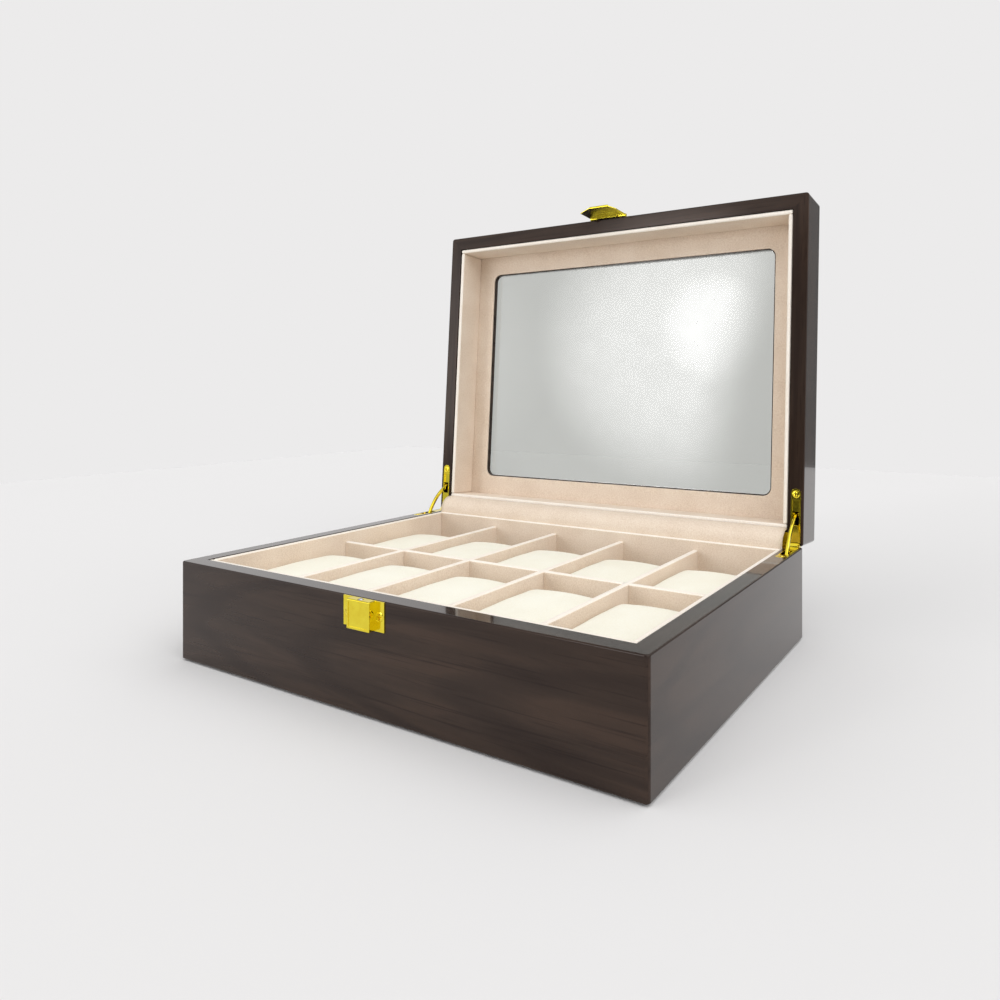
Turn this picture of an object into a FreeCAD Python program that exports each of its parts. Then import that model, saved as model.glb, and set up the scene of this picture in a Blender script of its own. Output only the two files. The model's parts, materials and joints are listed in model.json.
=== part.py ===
import FreeCAD
import Part
import math
import os

# Watch box with a glazed lid, standing open. Millimetres.
# Origin: centre of the underside. +X right, +Y rear, +Z up, front face towards -Y.

# Driving dimensions: wooden case
width = 300.0
depth = 230.0
wall = 10.0
base_height = 57.0
lid_wall_height = 26.0
lid_top = 5.0
corner_round = 2.0
edge_round = 0.8
lid_round = 1.6
rim_gap = 0.6
open_angle = 94.0
felt = 1.0
felt_inset = 4.0
bottom = 5.0
bottom_lap = 5.0
panel_clear = 0.1

# Driving dimensions: velvet boards
liner = 3.0
liner_gap = 0.3
liner_drop = 0.2
lid_liner_recess = 0.3
floor_board = 2.0
divider = 3.4
divider_height = 43.5
lap_clear = 0.1
columns = 5

# Driving dimensions: window
window_margin_x = 29.0
window_margin_y = 29.4
window_round = 5.2
velvet_frame = 1.2
velvet_reveal = 0.3
glass = 2.0
glass_lap = 5.0
glass_clear = 0.3
glass_set = 0.2

# Driving dimensions: pillows
pillow_height = 40.0
pillow_clear_x = 1.0
pillow_tuck = 2.5
pillow_shoulder = 6.0
# The pillow's length and the space behind it in the front and the rear row, as shares of the cell's depth
pillow_length_share = 0.78
pillow_behind_shares = (0.057, 0.215)
# Heights on the pillow's section, as shares of its height
waist_share = 0.45
side_share = 0.84
bend_share = 0.94
ledge_share = 0.975
# From an end to the middle: shares of the half length, of the height and of the half width
pillow_stations = [(1.0, 0.6, 0.84), (0.97, 0.74, 0.93), (0.89, 0.87, 0.975), (0.77, 0.95, 0.995),
                   (0.45, 0.99, 1.0), (0.0, 1.0, 1.0)]

# Driving dimensions: hinges and stay arms
leaf_width = 6.2
leaf_length = 36.5
leaf_foot_width = 8.2
leaf_foot_length = 20.0
leaf = 1.6
leaf_clear = 0.1
barrel = 2.0
barrel_clear = 0.3
knuckle_gap = 0.1
pin = 1.0
pin_clear = 0.05
leaf_screw_inset = 3.5
arm_reach = 18.4
arm_bow = 40.0
arm_width = 2.6
arm = 1.8
arm_clear = 0.3
arm_slot_width = 4.4
arm_slot_end = 29.3
groove = 1.0
stop_width = 5.4
stop_length = 2.0
stop_gap = 0.1

# Driving dimensions: rear gusset
gusset = 1.0
gusset_lap = 0.9
gusset_clear = 0.2
gusset_end = 0.3

# Driving dimensions: catch and hasp
catch_width = 27.2
catch_height = 14.5
catch_drop = 0.1
brass = 0.6
bump_width = 15.2
bump_depth = 4.6
bump_round = 0.6
border_width = 1.3
border_depth = 0.3
ball = 1.5
ball_rise = 0.55
ball_clear = 0.05
hasp_width = 30.0
hasp_plate_height = 13.0
hasp_reach = 13.5
hasp_axis_rise = 3.0
hasp_axis_out = 1.75
hasp_barrel = 1.4
hasp_pin = 0.7
hood_clear = 0.35
hood_side_clear = 0.5
wing_out = 2.0
flap_knuckle = 17.6
lip = 0.9

# Driving dimensions: raised countersunk screws with a cross recess
screw_head = 2.3
screw_dome = 0.25
screw_recess = 1.5
screw_head_height = 1.1
screw_shank = 1.0
screw_length = 8.0
screw_slot = 0.7
screw_clear = 0.05

# Derived places
V = FreeCAD.Vector
tiny = 1e-4
overcut = wall / 10
half_x = width / 2
half_y = depth / 2
inner_x = half_x - wall
inner_y = half_y - wall
rim = felt + base_height
lid_rim = rim + rim_gap
lid_seam = lid_rim + lid_wall_height
lid_roof = lid_seam + lid_top
floor_low = felt + bottom
floor_top = floor_low + floor_board
liner_x = inner_x - liner_gap
liner_y = inner_y - liner_gap
cell_x = liner_x - liner
cell_y = liner_y - liner
axis_y = half_y
axis_z = rim + rim_gap / 2
hinge_x = half_x - wall / 2
leaf_high = hinge_x + leaf_width / 2
leaf_low = leaf_high - leaf_foot_length
window_x = half_x - window_margin_x
window_y = half_y - window_margin_y
cell_width = (2 * cell_x - (columns - 1) * divider) / columns
cell_depth = (2 * cell_y - divider) / 2
column_pitch = cell_width + divider
row_pitch = cell_depth + divider
row_names = ("front", "rear")

parts = {}


def box(x0, x1, y0, y1, z0, z1):
    return Part.makeBox(x1 - x0, y1 - y0, z1 - z0, V(x0, y0, z0))


def rod(radius, x0, x1, y, z):
    return Part.makeCylinder(radius, x1 - x0, V(x0, y, z), V(1, 0, 0))


def prism(points, vector):
    wire = Part.makePolygon([V(*p) for p in points] + [V(*points[0])])
    return Part.Face(wire).extrude(V(*vector))


def join(shapes):
    return shapes[0].multiFuse(shapes[1:]).removeSplitter()


def mirrored(shape):
    return shape.mirror(V(0, 0, 0), V(1, 0, 0))


def opened(shape):
    # A lid piece is drawn closed, then swung up about the hinge axis.
    turned = shape.copy()
    turned.rotate(V(0, axis_y, axis_z), V(-1, 0, 0), open_angle)
    return turned


def keep(name, shape):
    solids = shape.Solids
    parts[name] = solids[0] if len(solids) == 1 else Part.makeCompound(solids)


def flat_edges(shape, level):
    return [e for e in shape.Edges if max(abs(e.BoundBox.ZMin - level), abs(e.BoundBox.ZMax - level)) < tiny]


def upright_edges(shape):
    return [e for e in shape.Edges if e.BoundBox.ZLength > shape.BoundBox.ZLength / 2]


def rounded_block(z0, z1, top_round, foot_round):
    block = box(-half_x, half_x, -half_y, half_y, z0, z1)
    block = block.makeFillet(corner_round, upright_edges(block))
    for level, radius in ((z1, top_round), (z0, foot_round)):
        if radius > 0:
            block = block.makeFillet(radius, flat_edges(block, level))
    return block


def window_plate(grow, z0, z1):
    plate = box(-window_x - grow, window_x + grow, -window_y - grow, window_y + grow, z0, z1)
    return plate.makeFillet(window_round + grow, upright_edges(plate))


def screw(swell):
    # Head at the origin, pointing down -Z. A swell above 0 makes the hole for it.
    radius = screw_shank + swell
    length = screw_length + swell
    head = Part.makeCone(radius, screw_head + swell, screw_head_height, V(0, 0, -screw_head_height))
    shank = Part.makeCylinder(radius, length, V(0, 0, -length))
    body = head.fuse(shank)
    if swell == 0:
        crown = (screw_head ** 2 + screw_dome ** 2) / (2 * screw_dome)
        globe = Part.makeSphere(crown, V(0, 0, screw_dome - crown))
        half = screw_slot / 2
        body = body.fuse(Part.makeCylinder(screw_head, screw_dome).common(globe)).cut([
            box(-screw_recess, screw_recess, -half, half, -screw_slot, screw_dome),
            box(-half, half, -screw_recess, screw_recess, -screw_slot, screw_dome),
        ])
    return body.removeSplitter()


def set_screw(swell, place, into):
    one = screw(swell)
    one.Placement = FreeCAD.Placement(V(*place), FreeCAD.Rotation(V(0, 0, -1), V(*into)))
    return one


# Places of the screws: base leaf, lid leaf (lid closed), catch and hasp plate
leaf_screw_places = [(hinge_x, axis_y - leaf_length + leaf_screw_inset),
                     (leaf_low + leaf_screw_inset, axis_y - (barrel + leaf_foot_width) / 2)]
leaf_screw_places += [(-x, y) for x, y in leaf_screw_places]
base_leaf_screws = [((x, y, rim), (0, 0, -1)) for x, y in leaf_screw_places]
lid_leaf_screws = [((x, y, lid_rim), (0, 0, 1)) for x, y in leaf_screw_places]
catch_top = rim - catch_drop
catch_screw_x = (bump_width + catch_width) / 4
catch_screw_z = catch_top - catch_height / 2
catch_screws = [((s * catch_screw_x, -half_y - brass, catch_screw_z), (0, 1, 0)) for s in (-1, 1)]
hasp_axis_y = -half_y - hasp_axis_out
hasp_axis_z = lid_rim + hasp_axis_rise
hasp_plate_top = lid_rim + hasp_plate_height
hasp_screw_z = (hasp_plate_top + hasp_axis_z + hasp_barrel) / 2
hasp_screws = [((s * catch_screw_x, -half_y - brass, hasp_screw_z), (0, 1, 0)) for s in (-1, 1)]


def holes(places):
    return [set_screw(screw_clear, place, into) for place, into in places]


# Sizes of the stay arm. It bows about a centre on the line that halves the open angle,
# and its stops lie just past the far face of each leaf.
half_open = math.radians(open_angle / 2)
bow_in = arm_bow - arm_width / 2
bow_out = arm_bow + arm_width / 2
bow_centre = arm_reach * math.cos(half_open) - math.sqrt(arm_bow ** 2 - (arm_reach * math.sin(half_open)) ** 2)
bow_front = bow_centre * math.cos(half_open)
bow_rise = bow_centre * math.sin(half_open)
leaf_far = rim_gap / 2 + leaf
stop_start = math.degrees(half_open + math.asin((leaf_far + stop_gap + bow_rise) / bow_out))
stop_turn = math.degrees(stop_length / arm_bow)


def arm_place(radius, angle):
    # Distances in front of and above the hinge axis, at an angle from the arm's middle that rises to the lid.
    lean = half_open + math.radians(angle)
    return bow_front + radius * math.cos(lean), bow_rise + radius * math.sin(lean)


# The mortise takes the stop's end corners from the open lid to the shut one.
stop_corners = [arm_place(r, -stop_start - stop_turn) for r in (bow_in, bow_out)]
sunk_corners = []
for out, up in stop_corners:
    deepest = min(math.pi / 2, math.atan2(-up, out) + half_open)
    sunk_corners.append((math.hypot(out, up) * math.cos(deepest), math.hypot(out, up) * math.sin(deepest)))
mortise_depth = max(down for out, down in sunk_corners) + arm_clear
mortise_rear = min(out for out, down in sunk_corners) - arm_clear
slot_front = max(out for out, up in stop_corners) + arm_clear
slot_rear = bow_centre + math.sqrt(bow_in ** 2 - leaf_far ** 2) - arm_clear


def leaf_outline(z0, z1, swell):
    half = leaf_width / 2 + swell
    front = axis_y - leaf_length - swell
    plate = box(hinge_x - half, hinge_x + half, front + half, axis_y, z0, z1)
    nose = Part.makeCylinder(half, z1 - z0, V(hinge_x, front + half, z0))
    foot = box(leaf_low - swell, hinge_x + half, axis_y - leaf_foot_width - swell, axis_y, z0, z1)
    return join([plate, nose, foot])


def hinge_cuts(z0, z1, toward):
    # Leaf recess, barrel notch and stay mortise of the right-hand hinge, and of its mirror.
    recess = leaf_outline(min(z0, z1), max(z0, z1), leaf_clear)
    notch = rod(barrel + barrel_clear, leaf_low - barrel_clear, leaf_high + barrel_clear, axis_y, axis_z)
    slot = stop_width / 2 + arm_clear
    far = axis_z + toward * mortise_depth
    mortise = box(hinge_x - slot, hinge_x + slot, axis_y - slot_front, axis_y - mortise_rear,
                  min(far, axis_z), max(far, axis_z))
    right = [recess, notch, mortise]
    return right + [mirrored(c) for c in right]


def split_walls(ring, prefix, z0, z1, place):
    # Four walls, mitred at the corners.
    far = wall + overcut
    outer = [(-half_x, -half_y), (half_x, -half_y), (half_x, half_y), (-half_x, half_y)]
    inner = [(x - math.copysign(far, x), y - math.copysign(far, y)) for x, y in outer]
    for i, side in enumerate(("front", "right", "rear", "left")):
        k = (i + 1) % 4
        plan = [outer[i], outer[k], inner[k], inner[i]]
        wedge = prism([(x, y, z0) for x, y in plan], (0, 0, z1 - z0))
        keep(f"{prefix}_{side}_wall", place(ring.common(wedge)))


def stay_put(shape):
    return shape


def make_base():
    lap_x = inner_x + bottom_lap
    lap_y = inner_y + bottom_lap
    ring = rounded_block(felt, rim, edge_round, edge_round)
    ring = ring.cut([
        box(-inner_x, inner_x, -inner_y, inner_y, felt, rim),
        box(-lap_x, lap_x, -lap_y, lap_y, felt, floor_low),
    ] + hinge_cuts(rim - leaf, rim, -1) + holes(base_leaf_screws + catch_screws))
    split_walls(ring, "base", felt, rim, stay_put)
    panel_x = lap_x - panel_clear
    panel_y = lap_y - panel_clear
    keep("bottom_panel", box(-panel_x, panel_x, -panel_y, panel_y, felt, floor_low))
    pad_x = half_x - felt_inset
    pad_y = half_y - felt_inset
    keep("bottom_felt", box(-pad_x, pad_x, -pad_y, pad_y, 0, felt))


def make_liners(prefix, z0, z1, place):
    keep(f"{prefix}_front", place(box(-liner_x, liner_x, -liner_y, -cell_y, z0, z1)))
    keep(f"{prefix}_rear", place(box(-liner_x, liner_x, cell_y, liner_y, z0, z1)))
    keep(f"{prefix}_left", place(box(-liner_x, -cell_x, -cell_y, cell_y, z0, z1)))
    keep(f"{prefix}_right", place(box(cell_x, liner_x, -cell_y, cell_y, z0, z1)))


def make_dividers():
    # Long divider slotted from above, cross dividers from below.
    top = floor_top + divider_height
    middle = floor_top + divider_height / 2
    half = divider / 2
    gap = half + lap_clear
    column_lines = [(i - columns / 2) * column_pitch for i in range(1, columns)]
    slots = [box(x - gap, x + gap, -half, half, middle, top) for x in column_lines]
    reach_x = cell_x - lap_clear
    reach_y = cell_y - lap_clear
    keep("long_divider", box(-reach_x, reach_x, -half, half, floor_top, top).cut(slots))
    for i, x in enumerate(column_lines):
        board = box(x - half, x + half, -reach_y, reach_y, floor_top, top)
        lap = box(x - half, x + half, -gap, gap, floor_top, middle + lap_clear)
        keep(f"cross_divider_{i + 1}", board.cut(lap))


def pillow_section(y, half, height):
    # Flat seat, bulging sides, rounded shoulders and a low crown.
    right = [(half - pillow_tuck, 0),
             (half, waist_share * height),
             (half - pillow_tuck / 2, side_share * height),
             (half - pillow_shoulder / 3, bend_share * height),
             (half - pillow_shoulder, ledge_share * height)]
    left = [(-x, z) for x, z in reversed(right)]
    p = [V(x, y, z) for x, z in right + [(0, height)] + left]
    arcs = [Part.Arc(p[i], p[i + 1], p[i + 2]).toShape() for i in range(0, len(p) - 1, 2)]
    return Part.Wire(arcs + [Part.makeLine(p[-1], p[0])])


def make_pillows():
    half = cell_width / 2 - pillow_clear_x
    length = pillow_length_share * cell_depth / 2
    line = [(-t, h, w) for t, h, w in pillow_stations] + list(reversed(pillow_stations[:-1]))
    wires = [pillow_section(t * length, w * half, h * pillow_height) for t, h, w in line]
    pillow = Part.makeLoft(wires, True, False)
    for r, row in enumerate(row_names):
        cell_rear = (r - 0.5) * row_pitch + cell_depth / 2
        y = cell_rear - pillow_behind_shares[r] * cell_depth - length
        for c in range(columns):
            one = pillow.copy()
            one.translate(V((c - (columns - 1) / 2) * column_pitch, y, floor_top))
            keep(f"pillow_{row}_{c + 1}", one)


def make_lid():
    block = rounded_block(lid_rim, lid_roof, lid_round, edge_round)
    ring = block.common(box(-half_x, half_x, -half_y, half_y, lid_rim, lid_seam))
    ring = ring.cut([
        box(-inner_x, inner_x, -inner_y, inner_y, lid_rim, lid_seam),
    ] + hinge_cuts(lid_rim, lid_rim + leaf, 1) + holes(lid_leaf_screws + hasp_screws))
    split_walls(ring, "lid", lid_rim, lid_seam, opened)
    top = block.common(box(-half_x, half_x, -half_y, half_y, lid_seam, lid_roof))
    glass_low = lid_roof - glass_set - glass
    top = top.cut([window_plate(0, lid_seam, lid_roof), window_plate(glass_lap + glass_clear, glass_low, lid_roof)])
    keep("lid_top_frame", opened(top))
    keep("window_glass", opened(window_plate(glass_lap, glass_low, glass_low + glass)))
    board_top = lid_seam
    board_low = lid_seam - velvet_frame
    board = box(-liner_x, liner_x, -liner_y, liner_y, board_low, board_top)
    keep("window_velvet_frame", opened(board.cut(window_plate(velvet_reveal, board_low, board_top))))
    make_liners("lid_liner", lid_rim + lid_liner_recess, board_low, opened)


def knuckles(z0, z1, groove_low, spans, gaps, places):
    # A leaf with its knuckles over the spans, clear of the other leaf's over the gaps.
    # A groove runs on from the arm's slot.
    plate = leaf_outline(z0, z1, 0)
    slot = arm_slot_width / 2
    cuts = [rod(barrel + barrel_clear, a, b, axis_y, axis_z) for a, b in gaps]
    cuts.append(box(hinge_x - slot, hinge_x + slot, axis_y - slot_front, axis_y - slot_rear, z0, z1))
    cuts.append(box(hinge_x - slot, hinge_x + slot, axis_y - arm_slot_end, axis_y - slot_front,
                    groove_low, groove_low + groove))
    cuts += holes(places)
    shape = join([plate.cut(cuts)] + [rod(barrel, a, b, axis_y, axis_z) for a, b in spans])
    bore = rod(pin + pin_clear, leaf_low - overcut, leaf_high + overcut, axis_y, axis_z)
    return shape.cut(bore)


def make_hinges():
    first = leaf_low + leaf_foot_length / 3
    last = leaf_high - leaf_foot_length / 3
    middle = [(first + knuckle_gap, last - knuckle_gap)]
    middle_gap = [(first, last)]
    ends = [(leaf_low, first), (last, leaf_high)]
    end_gaps = [(leaf_low - overcut, first + knuckle_gap), (last - knuckle_gap, leaf_high + overcut)]
    base_leaf = knuckles(rim - leaf, rim, rim - groove, ends, middle_gap, base_leaf_screws)
    lid_leaf = knuckles(lid_rim, lid_rim + leaf, lid_rim, middle, end_gaps, lid_leaf_screws)
    hinge_pin = rod(pin, leaf_low, leaf_high, axis_y, axis_z)
    for side, place in (("right", stay_put), ("left", mirrored)):
        keep(f"hinge_base_leaf_{side}", place(base_leaf))
        keep(f"hinge_lid_leaf_{side}", opened(place(lid_leaf)))
        keep(f"hinge_pin_{side}", place(hinge_pin))
        keep(f"stay_arm_{side}", place(stay_arm()))
    keep("hinge_base_screws", Part.makeCompound([set_screw(0, *p) for p in base_leaf_screws]))
    keep("hinge_lid_screws", opened(Part.makeCompound([set_screw(0, *p) for p in lid_leaf_screws])))


def stay_arm():
    pieces = [sector(arm, -stop_start, 2 * stop_start)]
    for start in (-stop_start - stop_turn, stop_start):
        pieces.append(sector(stop_width, start, stop_turn))
    return join(pieces)


def sector(thickness, start, turn):
    # Part of the flat ring that the stay arm follows.
    near = arm_place(bow_in, start)
    far = arm_place(bow_out, start)
    low = hinge_x - thickness / 2
    high = hinge_x + thickness / 2
    corners = [V(x, axis_y - out, axis_z + up) for x, (out, up) in
               ((low, near), (low, far), (high, far), (high, near))]
    face = Part.Face(Part.makePolygon(corners + corners[:1]))
    return face.revolve(V(hinge_x, axis_y - bow_front, axis_z + bow_rise), V(-1, 0, 0), turn)


def make_gusset():
    # A velvet strip bowed round the hinge axis, from the top of the rear liner to the lid liner's lip.
    outer = wall + liner_gap + gusset_lap
    reach = inner_x - gusset_clear
    tube = rod(outer, -reach, reach, axis_y, axis_z).cut(rod(outer - gusset, -reach, reach, axis_y, axis_z))
    below = box(-half_x, half_x, 0, depth, 0, rim - liner_drop)
    beyond = box(-half_x, half_x, -half_y, depth, lid_rim + lid_liner_recess - gusset_end, lid_rim + depth)
    keep("hinge_gusset", tube.cut([below, opened(beyond)]))


def make_catch():
    front = -half_y
    low = catch_top - catch_height
    half = catch_width / 2
    plate = box(-half, half, front - brass, front, low, catch_top)
    cheek = bump_width / 2
    hollow_x = cheek - brass
    plate = plate.cut([box(-hollow_x, hollow_x, front - brass, front, low + brass, catch_top - brass)]
                      + holes(catch_screws))
    keep("catch_plate", plate)
    nose = front - bump_depth
    bump = box(-cheek, cheek, nose, front - brass, low, catch_top)
    rounded = [e for e in bump.Edges if e.BoundBox.YMax < nose + tiny or e.BoundBox.YLength > brass]
    bump = bump.makeFillet(bump_round, rounded)
    hollow = box(-hollow_x, hollow_x, nose + brass, front - brass, low + brass, catch_top - brass)
    middle = (nose + front) / 2
    hole = Part.makeCylinder(ball + ball_clear, brass, V(0, middle, catch_top - brass))
    panel = box(-cheek + border_width, cheek - border_width, nose, nose + border_depth,
                low + border_width, catch_top - border_width)
    keep("catch_box", bump.cut([hollow, hole, panel]))
    keep("catch_ball", Part.makeSphere(ball, V(0, middle, catch_top + ball_rise - ball)))
    keep("catch_screws", Part.makeCompound([set_screw(0, *p) for p in catch_screws]))


def hood_section(feet, z0, z1):
    # Flat crest over the catch box, with sides that slope down to the hasp's edges.
    half = hasp_width / 2
    shoulder = bump_width / 2 + hood_side_clear
    crest = bump_depth + hood_clear + brass
    edge = wing_out + brass
    outline = [(-half, edge), (-shoulder, crest), (shoulder, crest), (half, edge)] + feet
    return prism([(x, -half_y - out, z0) for x, out in outline], (0, 0, z1 - z0))


def make_hasp():
    front = -half_y
    half = hasp_width / 2
    knuckle = flap_knuckle / 2
    top = hasp_axis_z - hasp_barrel - barrel_clear
    low = lid_rim - hasp_reach
    web = top - brass
    bore = rod(hasp_pin + pin_clear, -half - overcut, half + overcut, hasp_axis_y, hasp_axis_z)

    plate_low = hasp_axis_z + hasp_barrel + barrel_clear
    plate = [box(-half, half, front - brass, front, plate_low, hasp_plate_top)]
    for s in (-1, 1):
        ends = sorted((s * (knuckle + knuckle_gap), s * half))
        plate.append(rod(hasp_barrel, *ends, hasp_axis_y, hasp_axis_z))
        plate.append(box(*ends, front - brass, front, hasp_axis_z, plate_low))
    keep("hasp_plate", opened(join(plate).cut([bore] + holes(hasp_screws))))
    keep("hasp_screws", opened(Part.makeCompound([set_screw(0, *p) for p in hasp_screws])))
    keep("hasp_pin", opened(rod(hasp_pin, -half, half, hasp_axis_y, hasp_axis_z)))

    shoulder = bump_width / 2 + hood_side_clear
    crest = bump_depth + hood_clear
    edges = [(half, wing_out), (-half, wing_out)]
    inside = [(half, wing_out), (shoulder, crest), (-shoulder, crest), (-half, wing_out)]
    hood = [hood_section(inside, low, web), hood_section(edges, web, top)]
    neck = box(-knuckle, knuckle, front - wing_out - brass, hasp_axis_y + hasp_barrel / 2, web, hasp_axis_z)
    roll = rod(hasp_barrel, -knuckle, knuckle, hasp_axis_y, hasp_axis_z)
    face = front - crest - brass
    bead = rod(lip, -bump_width / 2, bump_width / 2, face, low + lip)
    bead = bead.cut(box(-half, half, face + brass / 2, front, low, low + 2 * lip))
    keep("hasp_flap", opened(join(hood + [neck, roll, bead]).cut(bore)))


make_base()
keep("floor_board", box(-liner_x, liner_x, -liner_y, liner_y, floor_low, floor_top))
make_liners("liner", floor_top, rim - liner_drop, stay_put)
make_dividers()
make_pillows()
make_lid()
make_hinges()
make_gusset()
make_catch()
make_hasp()

os.makedirs("parts", exist_ok=True)
for name, shape in parts.items():
    shape.exportStep(f"parts/{name}.step")
print(len(parts), "pieces, lid opened", open_angle, "degrees")
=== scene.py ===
import json
import math

import bmesh
import bpy
from mathutils import Matrix, Vector, noise


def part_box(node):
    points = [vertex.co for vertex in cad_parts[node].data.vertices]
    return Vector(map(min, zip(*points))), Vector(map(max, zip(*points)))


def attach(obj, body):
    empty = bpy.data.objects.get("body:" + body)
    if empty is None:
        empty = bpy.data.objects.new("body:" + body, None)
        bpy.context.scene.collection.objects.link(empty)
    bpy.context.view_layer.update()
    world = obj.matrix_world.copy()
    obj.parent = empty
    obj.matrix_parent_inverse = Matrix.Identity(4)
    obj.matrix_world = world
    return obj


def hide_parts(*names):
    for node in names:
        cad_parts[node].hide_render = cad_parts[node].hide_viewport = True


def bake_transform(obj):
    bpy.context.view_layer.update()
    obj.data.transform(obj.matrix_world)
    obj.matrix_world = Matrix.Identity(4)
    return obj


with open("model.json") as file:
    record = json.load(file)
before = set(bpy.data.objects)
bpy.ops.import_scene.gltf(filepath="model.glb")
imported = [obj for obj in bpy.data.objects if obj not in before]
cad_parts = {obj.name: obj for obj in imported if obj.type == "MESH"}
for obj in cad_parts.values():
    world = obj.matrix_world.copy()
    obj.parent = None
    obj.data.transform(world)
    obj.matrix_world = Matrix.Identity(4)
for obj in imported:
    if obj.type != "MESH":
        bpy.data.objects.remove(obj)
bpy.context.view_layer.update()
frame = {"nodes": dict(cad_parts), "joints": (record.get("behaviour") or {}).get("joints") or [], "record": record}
nodes = frame["nodes"]
scene = bpy.context.scene
mm = 0.001
near = 1e-6  # metres: a point closer than this to a plane lies on it
print("frame loaded,", len(nodes), "nodes")

# lid pieces are shaped with the lid shut, then swung open to where the frame has them
lidHinge = next(j for j in frame["joints"] if j["name"] == "lid_hinge")
hingePoint = Vector(lidHinge["pos_m"])
shutTurn = Matrix.Rotation(math.radians(lidHinge["range_deg"][0]), 4, Vector(lidHinge["axis"]))
shutLid = Matrix.Translation(hingePoint) @ shutTurn @ Matrix.Translation(-hingePoint)
openLid = shutLid.inverted()
inPlace = Matrix.Identity(4)


def hexColour(code):
    channels = [int(code[i:i + 2], 16) / 255 for i in (1, 3, 5)]
    linear = [c / 12.92 if c <= 0.04045 else ((c + 0.055) / 1.055) ** 2.4 for c in channels]
    return (*linear, 1.0)


def addNode(tree, kind, settings=None, links=None):
    node = tree.nodes.new(kind)
    for key, value in (settings or {}).items():
        if key == "stops":
            ramp = node.color_ramp
            while len(ramp.elements) < len(value):
                ramp.elements.new(0.5)
            for element, (place, colour) in zip(ramp.elements, value):
                element.position = place
                element.color = colour
        elif isinstance(key, int) or key in node.inputs:
            node.inputs[key].default_value = value
        else:
            setattr(node, key, value)
    for key, socket in (links or {}).items():
        tree.links.new(socket, node.inputs[key])
    return node


def newMaterial(name, settings):
    material = bpy.data.materials.new(name)
    material.use_nodes = True
    tree = material.node_tree
    tree.nodes.clear()
    shader = addNode(tree, "ShaderNodeBsdfPrincipled", settings)
    addNode(tree, "ShaderNodeOutputMaterial", {}, {"Surface": shader.outputs["BSDF"]})
    return material, tree, shader


def perMetre(*lengths):
    return [1000 / length for length in lengths]  # a pattern's size in mm, as a scale on metres


# walnut veneer under rubbed-out piano lacquer: near-black brown with a faint long figure,
# and a clear coat that mirrors whatever stands around the box
lacquer = {
    "dark": "#251b17", "middle": "#312620", "light": "#3d2f27", "pore": "#1b110e", "warm": "#c98f6c",
    "figureLength": 150, "figureWidth": 18, "poreLength": 45, "poreWidth": 1.1, "poreDepth": 0.6,
    "archLength": 70, "archWidth": 11, "archDepth": 60, "archPlace": (165, 28),
    "arches": 0.5, "archTone": 0.25,
    "coat": 0.7, "coatRoughness": 0.03, "peelSize": 7, "peel": 0.012, "peelHeight": 0.4 * mm,
}


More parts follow.
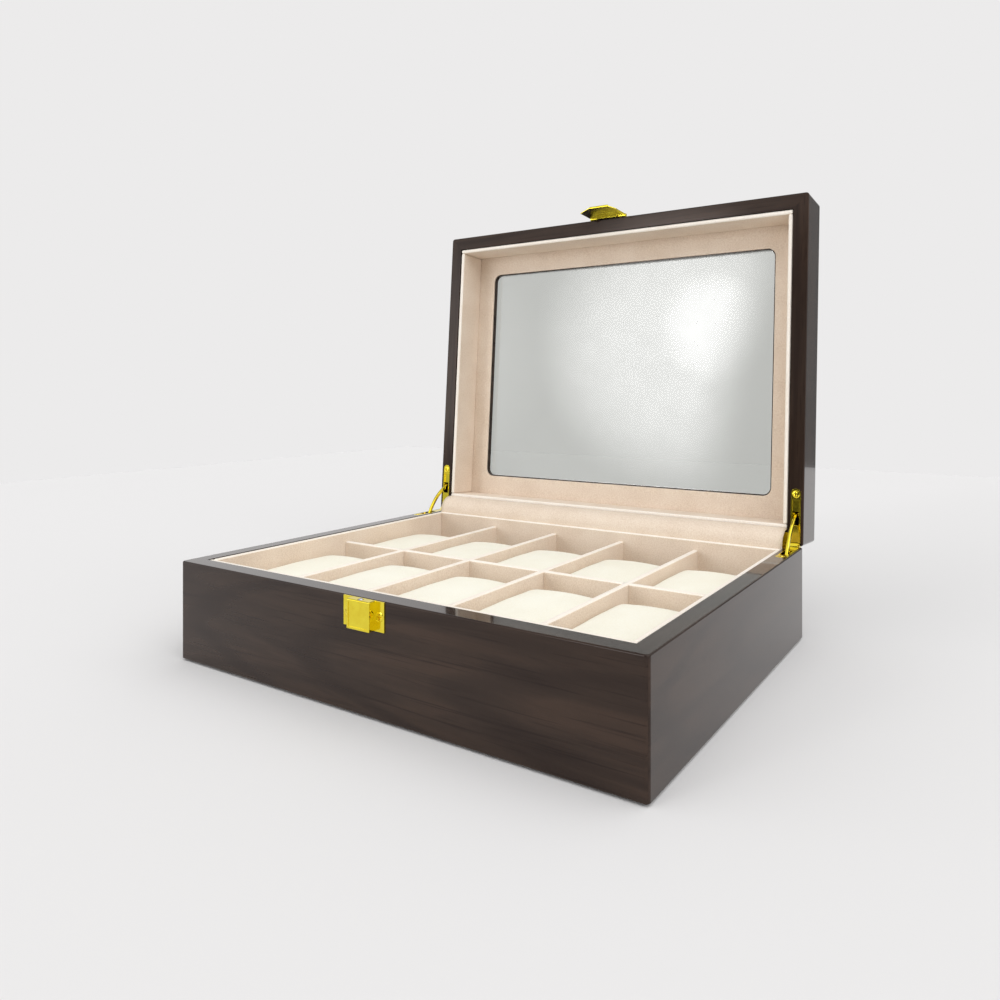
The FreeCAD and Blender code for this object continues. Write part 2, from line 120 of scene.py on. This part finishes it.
def lacqueredWood(name, along, across, through):
    material, tree, shader = newMaterial(name, {
        "Roughness": 0.12, "IOR": 1.5, "Specular IOR Level": 0.1,
        "Specular Tint": hexColour(lacquer["warm"]),
        "Coat Weight": lacquer["coat"], "Coat Roughness": lacquer["coatRoughness"], "Coat IOR": 1.36})
    place = addNode(tree, "ShaderNodeTexCoord").outputs["Object"]
    split = addNode(tree, "ShaderNodeSeparateXYZ", {}, {"Vector": place}).outputs
    grain = addNode(tree, "ShaderNodeCombineXYZ", {}, {
        "X": split[along], "Y": split[across], "Z": split[through]}).outputs["Vector"]
    width = lacquer["figureWidth"]
    stretched = addNode(tree, "ShaderNodeMapping", {
        "Scale": perMetre(lacquer["figureLength"], width, width)}, {"Vector": grain})
    figure = addNode(tree, "ShaderNodeTexNoise", {
        "Scale": 1.0, "Detail": 4.0, "Roughness": 0.55, "Distortion": 1.1}, {
        "Vector": stretched.outputs["Vector"]})
    # year rings of a flat-sawn board, cut into long arches
    size = perMetre(lacquer["archLength"], lacquer["archWidth"], lacquer["archDepth"])
    start = [-mm * middle * scale for middle, scale in zip((*lacquer["archPlace"], 0), size)]
    arched = addNode(tree, "ShaderNodeMapping", {"Scale": size, "Location": start}, {"Vector": grain})
    ringPitch = 0.31  # the wave node draws 20 / (2 pi) rings for each unit
    rings = addNode(tree, "ShaderNodeTexWave", {
        "wave_type": "RINGS", "rings_direction": "SPHERICAL", "Scale": ringPitch, "Distortion": 3.0,
        "Detail": 2.0, "Detail Scale": 1.2}, {"Vector": arched.outputs["Vector"]})
    lateWood = addNode(tree, "ShaderNodeMapRange", {
        "From Min": 0.7, "From Max": 1.0, "To Min": 0.0, "To Max": lacquer["arches"]}, {
        "Value": rings.outputs["Fac"]})
    wood = addNode(tree, "ShaderNodeMix", {"data_type": "FLOAT", 3: lacquer["archTone"]}, {
        0: lateWood.outputs["Result"], 2: figure.outputs["Fac"]})
    tones = addNode(tree, "ShaderNodeValToRGB", {"stops": [
        (0.3, hexColour(lacquer["dark"])), (0.5, hexColour(lacquer["middle"])),
        (0.72, hexColour(lacquer["light"]))]}, {"Fac": wood.outputs[0]})
    width = lacquer["poreWidth"]
    fine = addNode(tree, "ShaderNodeMapping", {
        "Scale": perMetre(lacquer["poreLength"], width, width)}, {"Vector": grain})
    pores = addNode(tree, "ShaderNodeTexNoise", {"Scale": 1.0, "Detail": 2.0}, {
        "Vector": fine.outputs["Vector"]})
    lines = addNode(tree, "ShaderNodeMapRange", {
        "From Min": 0.56, "From Max": 0.74, "To Min": 0.0, "To Max": lacquer["poreDepth"]}, {
        "Value": pores.outputs["Fac"]})
    colour = addNode(tree, "ShaderNodeMix", {"data_type": "RGBA", 7: hexColour(lacquer["pore"])}, {
        0: lines.outputs["Result"], 6: tones.outputs["Color"]})
    tree.links.new(colour.outputs[2], shader.inputs["Base Color"])
    # the sprayed coat is not quite level
    peel = addNode(tree, "ShaderNodeTexNoise", {
        "Scale": perMetre(lacquer["peelSize"])[0], "Detail": 1.0}, {"Vector": place})
    level = addNode(tree, "ShaderNodeBump", {
        "Strength": lacquer["peel"], "Distance": lacquer["peelHeight"]}, {"Height": peel.outputs["Fac"]})
    tree.links.new(level.outputs["Normal"], shader.inputs["Coat Normal"])
    return material


# short-pile velvet glued over board: matt, a bright rim where the pile is seen edge-on,
# soft patches where it was stroked one way or the other
def velvet(name, finish):
    material, tree, shader = newMaterial(name, {
        "Roughness": 0.95, "IOR": 1.45, "Specular IOR Level": 0.12,
        "Sheen Weight": finish["sheen"], "Sheen Roughness": 0.35, "Sheen Tint": hexColour(finish["bloom"])})
    place = addNode(tree, "ShaderNodeTexCoord").outputs["Object"]
    stroke = addNode(tree, "ShaderNodeTexNoise", {
        "Scale": perMetre(finish["strokeSize"])[0], "Detail": 2.0, "Distortion": 0.4}, {"Vector": place})
    # real pile is about 0.1 mm wide: drawn coarser so that it shows
    pile = addNode(tree, "ShaderNodeTexNoise", {
        "Scale": perMetre(finish["pileSize"])[0], "Detail": 2.0}, {"Vector": place})
    both = addNode(tree, "ShaderNodeMix", {"data_type": "FLOAT", 0: finish["strokes"]}, {
        2: pile.outputs["Fac"], 3: stroke.outputs["Fac"]})
    tones = addNode(tree, "ShaderNodeValToRGB", {"stops": [
        (0.3, hexColour(finish["shade"])), (0.5, hexColour(finish["body"])),
        (0.7, hexColour(finish["light"]))]}, {"Fac": both.outputs[0]})
    tree.links.new(tones.outputs["Color"], shader.inputs["Base Color"])
    nap = addNode(tree, "ShaderNodeBump", {
        "Strength": finish["nap"], "Distance": finish["napHeight"]}, {"Height": pile.outputs["Fac"]})
    tree.links.new(nap.outputs["Normal"], shader.inputs["Normal"])
    return material


# stamped brass, polished and bright-plated: a clean lemon gold with a little haze from handling;
# inside the hood it is painted a darker grey as painted shade, and made duller
brassFinish = {"colour": "#efdd45", "worn": "#e3c938", "smudgeSize": 6, "polish": 0.05, "haze": 0.12}
hoodShadeFinish = {"colour": "#8f8a72", "worn": "#77725c", "smudgeSize": 3, "polish": 0.25, "haze": 0.4}


def stampedBrass(name, finish):
    material, tree, shader = newMaterial(name, {"Metallic": 1.0})
    place = addNode(tree, "ShaderNodeTexCoord").outputs["Object"]
    smudge = addNode(tree, "ShaderNodeTexNoise", {
        "Scale": perMetre(finish["smudgeSize"])[0], "Detail": 3.0, "Roughness": 0.6}, {"Vector": place})
    haze = addNode(tree, "ShaderNodeMapRange", {
        "From Min": 0.35, "From Max": 0.75, "To Min": finish["polish"], "To Max": finish["haze"]}, {
        "Value": smudge.outputs["Fac"]})
    tree.links.new(haze.outputs["Result"], shader.inputs["Roughness"])
    tones = addNode(tree, "ShaderNodeValToRGB", {"stops": [
        (0.4, hexColour(finish["colour"])), (0.8, hexColour(finish["worn"]))]}, {
        "Fac": smudge.outputs["Fac"]})
    tree.links.new(tones.outputs["Color"], shader.inputs["Base Color"])
    return material


# float glass, lightly grey, with the faintest unevenness in its gloss
paneFinish = {"tint": "#cbcdc9", "filmSize": 40, "haze": 0.02}


def windowGlass(name):
    material, tree, shader = newMaterial(name, {
        "Base Color": hexColour(paneFinish["tint"]), "IOR": 1.5, "Transmission Weight": 1.0})
    place = addNode(tree, "ShaderNodeTexCoord").outputs["Object"]
    film = addNode(tree, "ShaderNodeTexNoise", {
        "Scale": perMetre(paneFinish["filmSize"])[0], "Detail": 2.0}, {"Vector": place})
    gloss = addNode(tree, "ShaderNodeMapRange", {"To Min": 0.0, "To Max": paneFinish["haze"]}, {
        "Value": film.outputs["Fac"]})
    tree.links.new(gloss.outputs["Result"], shader.inputs["Roughness"])
    return material


# a hardened steel ball: grey, mirror bright, faintly scuffed
ballFinish = {"colour": "#c4c5c7", "scuffSize": 0.8, "polish": 0.08, "scuffed": 0.22}


def polishedSteel(name):
    material, tree, shader = newMaterial(name, {
        "Metallic": 1.0, "Base Color": hexColour(ballFinish["colour"])})
    place = addNode(tree, "ShaderNodeTexCoord").outputs["Object"]
    scuff = addNode(tree, "ShaderNodeTexNoise", {
        "Scale": perMetre(ballFinish["scuffSize"])[0], "Detail": 3.0}, {"Vector": place})
    gloss = addNode(tree, "ShaderNodeMapRange", {
        "To Min": ballFinish["polish"], "To Max": ballFinish["scuffed"]}, {"Value": scuff.outputs["Fac"]})
    tree.links.new(gloss.outputs["Result"], shader.inputs["Roughness"])
    return material


# pressed wool felt under the base: black, dead matt, a little fibrous
feltFinish = {"shade": "#0e0d0d", "light": "#272424", "fibreSize": 1.5}


def pressedFelt(name):
    material, tree, shader = newMaterial(name, {
        "Roughness": 1.0, "Specular IOR Level": 0.05, "Sheen Weight": 0.2})
    place = addNode(tree, "ShaderNodeTexCoord").outputs["Object"]
    fibre = addNode(tree, "ShaderNodeTexNoise", {
        "Scale": perMetre(feltFinish["fibreSize"])[0], "Detail": 4.0}, {"Vector": place})
    tones = addNode(tree, "ShaderNodeValToRGB", {"stops": [
        (0.3, hexColour(feltFinish["shade"])), (0.75, hexColour(feltFinish["light"]))]}, {
        "Fac": fibre.outputs["Fac"]})
    tree.links.new(tones.outputs["Color"], shader.inputs["Base Color"])
    return material


liningFinish = {"shade": "#d8c5b1", "body": "#e6d5c3", "light": "#efe2d2", "bloom": "#fff6ea",
                "strokeSize": 24, "strokes": 0.35, "pileSize": 0.8, "sheen": 0.45,
                "nap": 0.4, "napHeight": 0.35 * mm}
# a lighter velvet for the lining faces that the light catches: a painted highlight, not a change in the pile
paintedLitEdgeFinish = {"shade": "#f1e6d9", "body": "#f7efe4", "light": "#fbf5ec", "bloom": "#fffaf2",
              "strokeSize": 24, "strokes": 0.35, "pileSize": 0.8, "sheen": 0.45,
              "nap": 0.3, "napHeight": 0.35 * mm}
pillowFinish = {"shade": "#f4f0df", "body": "#f9f6e7", "light": "#fcfbef", "bloom": "#fffdf4",
                "strokeSize": 30, "strokes": 0.4, "pileSize": 0.8, "sheen": 0.3,
                "nap": 0.2, "napHeight": 0.35 * mm}
woodAlongX = lacqueredWood("lacquered walnut, grain across the box", "X", "Z", "Y")
woodAlongY = lacqueredWood("lacquered walnut, grain front to back", "Y", "Z", "X")
woodAlongZ = lacqueredWood("lacquered walnut, grain up the open lid", "Z", "X", "Y")
liningVelvet = velvet("beige lining velvet", liningFinish)
# the second lining velvet is a painted highlight for the lit edges of the boards
paintedLitEdgeVelvet = velvet("beige lining velvet, opened where it turns an edge", paintedLitEdgeFinish)
pillowVelvet = velvet("cream pillow velvet", pillowFinish)
brass = stampedBrass("polished plated brass", brassFinish)
# the second brass is painted shade for the inside of the hasp's hood
hoodShadeBrass = stampedBrass("brass inside the hood, painted darker as shade", hoodShadeFinish)
steel = polishedSteel("polished steel")
glass = windowGlass("float glass")
felt = pressedFelt("black pressed felt")
slotMaterials = {"lining_velvet": liningVelvet, "pillow_velvet": pillowVelvet, "polished_brass": brass,
                 "bright_steel": steel, "clear_glass": glass, "felt": felt}
for sub in frame["record"]["subparts"]:
    node = sub["node"]
    if node in ("base_left_wall", "base_right_wall"):
        material = woodAlongY
    elif node in ("lid_left_wall", "lid_right_wall"):
        material = woodAlongZ
    else:
        material = slotMaterials.get(sub["material_slot"], woodAlongX)
    nodes[node].data.materials.clear()
    nodes[node].data.materials.append(material)
print("materials made,", len(bpy.data.materials))


def addPiece(name, bm, material):
    bmesh.ops.recalc_face_normals(bm, faces=bm.faces)
    mesh = bpy.data.meshes.new(name)
    bm.to_mesh(mesh)
    bm.free()
    mesh.materials.append(material)
    mesh.shade_smooth()
    piece = bpy.data.objects.new(name, mesh)
    scene.collection.objects.link(piece)
    return piece


def extent(points):
    low = Vector([min(p[i] for p in points) for i in range(3)])
    high = Vector([max(p[i] for p in points) for i in range(3)])
    return low, high


def cornersOf(node, turn):
    return extent([turn @ v.co for v in nodes[node].data.vertices])


# velvet-covered boards: liners, dividers and floor
board = {"soft": 1.15 * mm, "softShare": 0.4, "segments": 4, "edgeSlack": 0.3}


def softEdges(bm, edges, soft):
    bmesh.ops.bevel(bm, geom=edges, offset=soft, offset_type="OFFSET", affect="EDGES",
                    segments=board["segments"], profile=0.5, material=-1, clamp_overlap=True)


def evenShading(piece):
    even = piece.modifiers.new("even shading", "WEIGHTED_NORMAL")
    even.weight = 100


# faces turned toward the given side take the lighter velvet: a painted highlight on the edges that the top light
# catches
def paintLitEdge(bm, toward):
    bm.normal_update()
    for face in bm.faces:
        if face.normal.dot(toward) > board["edgeSlack"]:
            face.material_index = 1


def coverBoard(node, body, turn, toward):
    low, high = cornersOf(node, turn)
    bm = bmesh.new()
    bmesh.ops.create_cube(bm, size=1.0)
    bmesh.ops.scale(bm, vec=high - low, verts=bm.verts)
    bmesh.ops.translate(bm, vec=(low + high) / 2, verts=bm.verts)
    softEdges(bm, bm.edges[:], min(board["soft"], board["softShare"] * min(high - low)))
    paintLitEdge(bm, Vector(toward))
    bmesh.ops.transform(bm, matrix=turn.inverted(), verts=bm.verts)
    piece = addPiece("velvet_" + node, bm, liningVelvet)
    piece.data.materials.append(paintedLitEdgeVelvet)
    evenShading(piece)
    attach(piece, body)
    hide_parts(node)


# each board's node, body, turn to where it is shaped, and the way its lit edge faces there, which is painted
# lighter as a painted highlight
boards = []
for side in ("front", "rear", "left", "right"):
    boards.append(("liner_" + side, "base", inPlace, (0, 0, 1)))
    boards.append(("lid_liner_" + side, "lid", shutLid, (0, 0, -1)))
boards.append(("floor_board", "base", inPlace, (0, 0, -1)))
for entry in boards:
    coverBoard(*entry)


# half-lapped dividers: a side outline with its slots, given the board's thickness
dividers = {"slotSpare": 0.1 * mm}


def divider(node, lapsAt, fromTop, alongX):
    low, high = cornersOf(node, inPlace)
    start, end = (low.x, high.x) if alongX else (low.y, high.y)
    thickness = (high.y - low.y) if alongX else (high.x - low.x)
    gap = thickness / 2 + dividers["slotSpare"]
    middle = (low.z + high.z) / 2
    edge = high.z if fromTop else low.z
    other = low.z if fromTop else high.z
    outline = [(start, other), (start, edge)]
    for lap in lapsAt:
        outline += [(lap - gap, edge), (lap - gap, middle), (lap + gap, middle), (lap + gap, edge)]
    outline += [(end, edge), (end, other)]
    bm = bmesh.new()
    for run, height in outline:
        bm.verts.new((run, low.y, height) if alongX else (low.x, run, height))
    side = bm.faces.new(bm.verts)
    out = (0, thickness, 0) if alongX else (thickness, 0, 0)
    grown = bmesh.ops.extrude_face_region(bm, geom=[side])
    bmesh.ops.translate(bm, vec=out, verts=[v for v in grown["geom"] if isinstance(v, bmesh.types.BMVert)])
    ridge = [e for e in bm.edges if all(v.co.z > high.z - near for v in e.verts)]
    softEdges(bm, ridge, board["soft"])
    bmesh.ops.recalc_face_normals(bm, faces=bm.faces)
    paintLitEdge(bm, Vector((0, 0, 1)))
    piece = addPiece("velvet_" + node, bm, liningVelvet)
    piece.data.materials.append(paintedLitEdgeVelvet)
    evenShading(piece)
    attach(piece, "base")
    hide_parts(node)


crossNodes = sorted(n for n in nodes if n.startswith("cross_divider"))
crossLines = [sum(c.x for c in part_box(n)) / 2 for n in crossNodes]
divider("long_divider", crossLines, True, True)
for node in crossNodes:
    divider(node, [0.0], False, False)
print("velvet boards made,", len(boards), "and dividers,", 1 + len(crossNodes))

# velvet frame round the window
windowFrame = {"margin": 28.2 * mm, "marginY": 28.6 * mm, "corner": 6.0 * mm, "cornerSegments": 8,
               "halfWidth": 150 * mm, "halfDepth": 115 * mm, "soft": 0.45 * mm, "sharp": 0.5}


def coverWindowFrame(node):
    low, high = cornersOf(node, shutLid)
    bm = bmesh.new()
    outer = [bm.verts.new((x, y, low.z)) for x, y in (
        (low.x, low.y), (high.x, low.y), (high.x, high.y), (low.x, high.y))]
    for i in range(4):
        bm.edges.new((outer[i], outer[(i + 1) % 4]))
    x = windowFrame["halfWidth"] - windowFrame["margin"]
    y = windowFrame["halfDepth"] - windowFrame["marginY"]
    inner = [bm.verts.new((a, b, low.z)) for a, b in ((-x, -y), (x, -y), (x, y), (-x, y))]
    rounds = [bm.edges.new((inner[i], inner[(i + 1) % 4])) for i in range(4)]
    bmesh.ops.bevel(bm, geom=inner + rounds, offset=windowFrame["corner"], offset_type="OFFSET",
                    affect="VERTICES", segments=windowFrame["cornerSegments"], profile=0.5, material=-1)
    bmesh.ops.triangle_fill(bm, edges=bm.edges[:], use_beauty=True)
    grown = bmesh.ops.extrude_face_region(bm, geom=bm.faces[:])
    bmesh.ops.translate(bm, vec=(0, 0, high.z - low.z),
                        verts=[v for v in grown["geom"] if isinstance(v, bmesh.types.BMVert)])
    onRim = [v for v in bm.verts if abs(v.co.z - low.z) < near and abs(v.co.x) < x + near
             and abs(v.co.y) < y + near]
    rimEdges = [e for e in bm.edges if all(v in onRim for v in e.verts)
                and e.calc_face_angle(0) > windowFrame["sharp"]]
    softEdges(bm, rimEdges, windowFrame["soft"])
    bmesh.ops.transform(bm, matrix=openLid, verts=bm.verts)
    piece = addPiece("velvet_" + node, bm, liningVelvet)
    evenShading(piece)
    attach(piece, "lid")
    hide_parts(node)


coverWindowFrame("window_velvet_frame")
print("window frame made")

# brass pieces keep their frame shape, with the edges broken so that they catch the light
edges = {"plate": 0.18 * mm, "arm": 0.45 * mm, "catch": 0.3 * mm, "sharp": 32, "segments": 2, "flat": 1,
         "merge": 0.002 * mm, "inside": 0.3}


def polishEdges(node, body, width):
    bm = bmesh.new()
    bm.from_mesh(nodes[node].data)
    bmesh.ops.remove_doubles(bm, verts=bm.verts, dist=edges["merge"])
    bmesh.ops.dissolve_limit(bm, angle_limit=math.radians(edges["flat"]), verts=bm.verts, edges=bm.edges,
                             delimit={"NORMAL"})
    piece = addPiece("polished_" + node, bm, brass)
    broken = piece.modifiers.new("broken edges", "BEVEL")
    broken.width = width
    broken.segments = edges["segments"]
    broken.limit_method = "ANGLE"
    broken.angle_limit = math.radians(edges["sharp"])
    evenShading(piece)
    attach(piece, body)
    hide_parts(node)
    return piece


bodyOf = {node: body for body, held in frame["record"]["behaviour"]["bodies"].items() for node in held}
metalNodes = [s["node"] for s in frame["record"]["subparts"] if s["material_slot"] == "polished_brass"]
for node in metalNodes:
    kind = "arm" if "stay_arm" in node else "catch" if node in ("catch_plate", "catch_box") else "plate"
    piece = polishEdges(node, bodyOf[node], edges[kind])
    if node == "hasp_flap":
        # inside of the hood: what faces the box below the pin when the lid is shut, painted darker and greyer as
        # painted shade
        piece.data.materials.append(hoodShadeBrass)
        pinLow = cornersOf("hasp_pin", shutLid)[0]
        inward = openLid.to_3x3() @ Vector((0, 1, 0))
        for face in piece.data.polygons:
            if (shutLid @ face.center).z < pinLow.z and face.normal.dot(inward) > edges["inside"]:
                face.material_index = 1
print("brass made,", len(metalNodes))

# pillows: foam blocks sewn into velvet, swelled by a short cloth simulation
pillow = {
    "shrink": (0.95, 0.95, 0.95), "merge": 0.01 * mm, "voxel": 2.5 * mm, "seat": 4 * mm, "cap": 4 * mm,
    "pressure": 3.0, "mass": 0.25, "stretch": 18, "bend": 0.8, "quality": 6, "frames": 20,
}


def pillowBlock(node):
    low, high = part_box(node)
    bm = bmesh.new()
    bm.from_mesh(nodes[node].data)
    bmesh.ops.remove_doubles(bm, verts=bm.verts, dist=pillow["merge"])
    bmesh.ops.translate(bm, vec=(-(low.x + high.x) / 2, -(low.y + high.y) / 2, -low.z), verts=bm.verts)
    bmesh.ops.scale(bm, vec=pillow["shrink"], verts=bm.verts)
    mesh = bpy.data.meshes.new("pillow block")
    bm.to_mesh(mesh)
    bm.free()
    return mesh


def evaluated(piece):
    depsgraph = bpy.context.evaluated_depsgraph_get()
    return bpy.data.meshes.new_from_object(piece.evaluated_get(depsgraph))


def swell(mesh):
    piece = bpy.data.objects.new("pillow trial", mesh)
    scene.collection.objects.link(piece)
    remesh = piece.modifiers.new("even cloth", "REMESH")
    remesh.mode = "VOXEL"
    remesh.voxel_size = pillow["voxel"]
    piece.data = evaluated(piece)
    piece.modifiers.clear()
    seat = piece.vertex_groups.new(name="seat")
    seat.add([v.index for v in piece.data.vertices if v.co.z < pillow["seat"]], 1.0, "REPLACE")
    cloth = piece.modifiers.new("swell", "CLOTH")
    cloth.settings.vertex_group_mass = "seat"
    cloth.settings.quality = pillow["quality"]
    cloth.settings.mass = pillow["mass"]
    cloth.settings.tension_stiffness = pillow["stretch"]
    cloth.settings.compression_stiffness = pillow["stretch"]
    cloth.settings.bending_stiffness = pillow["bend"]
    cloth.settings.use_pressure = True
    cloth.settings.uniform_pressure_force = pillow["pressure"]
    cloth.settings.effector_weights.gravity = 0
    for step in range(1, pillow["frames"] + 1):
        scene.frame_set(step)
    swelled = evaluated(piece)
    for vertex, moved in zip(piece.data.vertices, swelled.vertices):
        travel = moved.co - vertex.co
        if travel.length > pillow["cap"]:
            travel = travel.normalized() * pillow["cap"]
        vertex.co += travel
    scene.frame_set(1)
    shaped = piece.data
    bpy.data.objects.remove(piece)
    return shaped


def fitTo(mesh, size):
    low, high = extent([v.co for v in mesh.vertices])
    grow = [size[i] / (high[i] - low[i]) for i in range(3)]
    for vertex in mesh.vertices:
        vertex.co.x = (vertex.co.x - (low.x + high.x) / 2) * grow[0]
        vertex.co.y = (vertex.co.y - (low.y + high.y) / 2) * grow[1]
        vertex.co.z = (vertex.co.z - low.z) * grow[2]


pillowNodes = sorted(n for n in nodes if n.startswith("pillow_"))
low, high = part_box(pillowNodes[0])
pillowSize = high - low
pillowMesh = swell(pillowBlock(pillowNodes[0]))
fitTo(pillowMesh, pillowSize)
for count, node in enumerate(pillowNodes):
    low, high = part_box(node)
    bm = bmesh.new()
    bm.from_mesh(pillowMesh)
    if count % 2:
        bmesh.ops.rotate(bm, cent=(0, 0, 0), matrix=Matrix.Rotation(math.pi, 3, "Z"), verts=bm.verts)
    row, number = node.split("_")[1:]
    bmesh.ops.translate(bm, vec=((low.x + high.x) / 2, (low.y + high.y) / 2, low.z), verts=bm.verts)
    piece = addPiece("stuffed_" + node, bm, pillowVelvet)
    smooth = piece.modifiers.new("smooth cloth", "SUBSURF")
    smooth.levels = 1
    smooth.render_levels = 1
    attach(piece, f"{row}_pillow_{number}")
    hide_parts(node)
print("pillows made,", len(pillowNodes))

# velvet gusset: a strip bowed round the hinge, from the top of the rear liner to the lid liner's lip
gusset = {"radius": 11.2 * mm, "halfWidth": 139.7 * mm, "startAngle": -5, "turn": 100, "steps": 24,
          "across": 90, "thickness": 1.0 * mm, "ripple": 0.12 * mm, "rippleSize": 26 * mm}


def makeGusset():
    centre = Vector((0, hingePoint.y, hingePoint.z))
    start = math.radians(gusset["startAngle"])
    first = centre + gusset["radius"] * Vector((0, -math.cos(start), math.sin(start)))
    bm = bmesh.new()
    ends = [bm.verts.new((s * gusset["halfWidth"], first.y, first.z)) for s in (-1, 1)]
    line = bm.edges.new(ends)
    bmesh.ops.subdivide_edges(bm, edges=[line], cuts=gusset["across"])
    bmesh.ops.spin(bm, geom=bm.verts[:] + bm.edges[:], cent=centre, axis=(-1, 0, 0),
                   angle=math.radians(gusset["turn"]), steps=gusset["steps"])
    for vertex in bm.verts:
        out = Vector((0, vertex.co.y - centre.y, vertex.co.z - centre.z)).normalized()
        vertex.co += out * gusset["ripple"] * (noise.noise(vertex.co / gusset["rippleSize"]) - 0.5)
    bmesh.ops.recalc_face_normals(bm, faces=bm.faces)
    bmesh.ops.solidify(bm, geom=bm.faces[:], thickness=gusset["thickness"])
    piece = addPiece("velvet_gusset", bm, liningVelvet)
    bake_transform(piece)
    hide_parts("hinge_gusset")


makeGusset()
print("gusset made")

# floor, light and camera
stage = {"backdrop": "#ecebeb", "floor": "#e7e6e6", "size": 2.4}
floorBm = bmesh.new()
bmesh.ops.create_grid(floorBm, x_segments=1, y_segments=1, size=stage["size"] / 2)
floorMesh = bpy.data.meshes.new("floor")
floorBm.to_mesh(floorMesh)
floorBm.free()
floorMaterial = newMaterial("pale matt floor", {
    "Base Color": hexColour(stage["floor"]), "Roughness": 1.0, "Specular IOR Level": 0.0})[0]
floorMesh.materials.append(floorMaterial)
floor = bpy.data.objects.new("floor", floorMesh)
scene.collection.objects.link(floor)

# soft boxes: a large one up to the right, a fill at each side, a strip to the left,
# and two that the window mirrors;
# black flags: in front for the lid's right rim, at the left for the hinge leaf,
# at the right rear for the lid's side;
# each is an aim, an outer and an inner angle, and how much it adds or takes away
studio = {
    "wall": 0.46, "mottle": 0.06, "mottleScale": 45, "backdrop": ((-0.527, 0.85, 0.1), 44, 26, 1.0),
    "boxes": [((0.45, -0.12, 0.87), 55, 25, 1.12), ((-0.62, -0.72, 0.3), 45, 20, 0.66),
              ((0.78, -0.55, 0.3), 45, 20, 0.85), ((-0.67, -0.73, 0.14), 10, 4, 1.1),
              ((-0.385, -0.91, 0.185), 11.5, 3, 7.5), ((-0.35, -0.935, 0.215), 4.5, 1, 5.0)],
    "flags": [((0.13, -0.988, 0.05), 30, 25, 0.92), ((-0.65, -0.76, -0.08), 9, 4, 0.55),
              ((0.26, 0.96, 0.06), 16, 9, 0.55)],
}
world = bpy.data.worlds.new("soft studio")
scene.world = world
world.use_nodes = True
sky = world.node_tree
sky.nodes.clear()
toward = addNode(sky, "ShaderNodeTexCoord").outputs["Generated"]


def patch(aim, outer, inner, strength):
    spread = addNode(sky, "ShaderNodeVectorMath", {
        "operation": "DOT_PRODUCT", 1: Vector(aim).normalized()}, {0: toward})
    return addNode(sky, "ShaderNodeMapRange", {
        "interpolation_type": "SMOOTHSTEP", "From Min": math.cos(math.radians(outer)),
        "From Max": math.cos(math.radians(inner)), "To Min": 0.0, "To Max": strength}, {
        "Value": spread.outputs["Value"]}).outputs["Result"]


def combine(operation, first, second):
    node = addNode(sky, "ShaderNodeMath", {"operation": operation})
    for socket, value in zip(node.inputs, (first, second)):
        if isinstance(value, (int, float)):
            socket.default_value = value
        else:
            sky.links.new(value, socket)
    return node.outputs["Value"]


level = studio["wall"]
for box in studio["boxes"]:
    level = combine("ADD", level, patch(*box))
for flag in studio["flags"]:
    level = combine("MULTIPLY", level, combine("SUBTRACT", 1.0, patch(*flag)))
# the studio's cloth is a little uneven, which shows in gloss alone
weave = addNode(sky, "ShaderNodeTexNoise", {
    "Scale": studio["mottleScale"], "Detail": 2.0}, {"Vector": toward})
mottle = addNode(sky, "ShaderNodeMapRange", {
    "From Min": 0.3, "From Max": 0.7, "To Min": 1 - studio["mottle"], "To Max": 1 + studio["mottle"]}, {
    "Value": weave.outputs["Fac"]})
level = combine("MULTIPLY", level, mottle.outputs["Result"])
light = addNode(sky, "ShaderNodeBackground", {"Color": hexColour("#ffffff")}, {"Strength": level})
backdrop = addNode(sky, "ShaderNodeBackground", {"Color": hexColour(stage["backdrop"]), "Strength": 1.0})
rays = addNode(sky, "ShaderNodeLightPath").outputs
# the backdrop stands straight behind the box, and gloss shows it there
behind = patch(*studio["backdrop"])
straight = combine("MAXIMUM", rays["Is Camera Ray"], rays["Is Transmission Ray"])
seen = combine("MAXIMUM", straight, combine("MULTIPLY", rays["Is Glossy Ray"], behind))
mix = addNode(sky, "ShaderNodeMixShader", {}, {
    0: seen, 1: light.outputs["Background"], 2: backdrop.outputs["Background"]})
addNode(sky, "ShaderNodeOutputWorld", {}, {"Surface": mix.outputs["Shader"]})

view = {"place": (0.27127, -0.37542, 0.15828), "azimuth": 31.819, "lens": 27.249, "sensor": 36,
        "shift": (-0.058, -0.1104), "clip": (0.01, 200)}
cameraData = bpy.data.cameras.new("camera")
cameraData.sensor_width = view["sensor"]
cameraData.lens = view["lens"]
cameraData.shift_x, cameraData.shift_y = view["shift"]
cameraData.clip_start, cameraData.clip_end = view["clip"]
camera = bpy.data.objects.new("camera", cameraData)
camera.location = view["place"]
camera.rotation_euler = (math.pi / 2, 0, math.radians(view["azimuth"]))
scene.collection.objects.link(camera)
scene.camera = camera
scene.view_settings.view_transform = "Standard"
print("stage and camera set")
